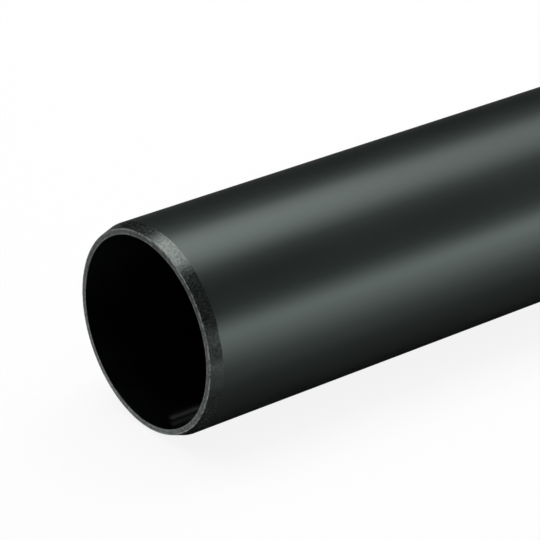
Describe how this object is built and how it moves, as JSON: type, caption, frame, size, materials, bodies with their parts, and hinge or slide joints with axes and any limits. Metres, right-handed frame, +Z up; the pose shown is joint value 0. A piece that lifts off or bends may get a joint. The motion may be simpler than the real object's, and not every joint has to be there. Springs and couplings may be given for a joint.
{
  "type": "drain pipe",
  "caption": "Straight round plastic drain pipe with plain ends, an open smooth bore and a chamfered spigot at each end for pushing into a socket.",
  "frame": {"origin": "on the floor, under the middle of the pipe's length", "axes": "+Y along the pipe, +Z up; the end that the picture shows is the one at -Y"},
  "size_m": [0.0408, 1, 0.041],
  "materials": {
    "pipe_plastic": "black polypropylene, satin as extruded, with dull turned chamfers and sawn end faces"
  },
  "bodies": {
    "root": {"drain_pipe": "pipe_plastic"}
  },
  "joints": []
}
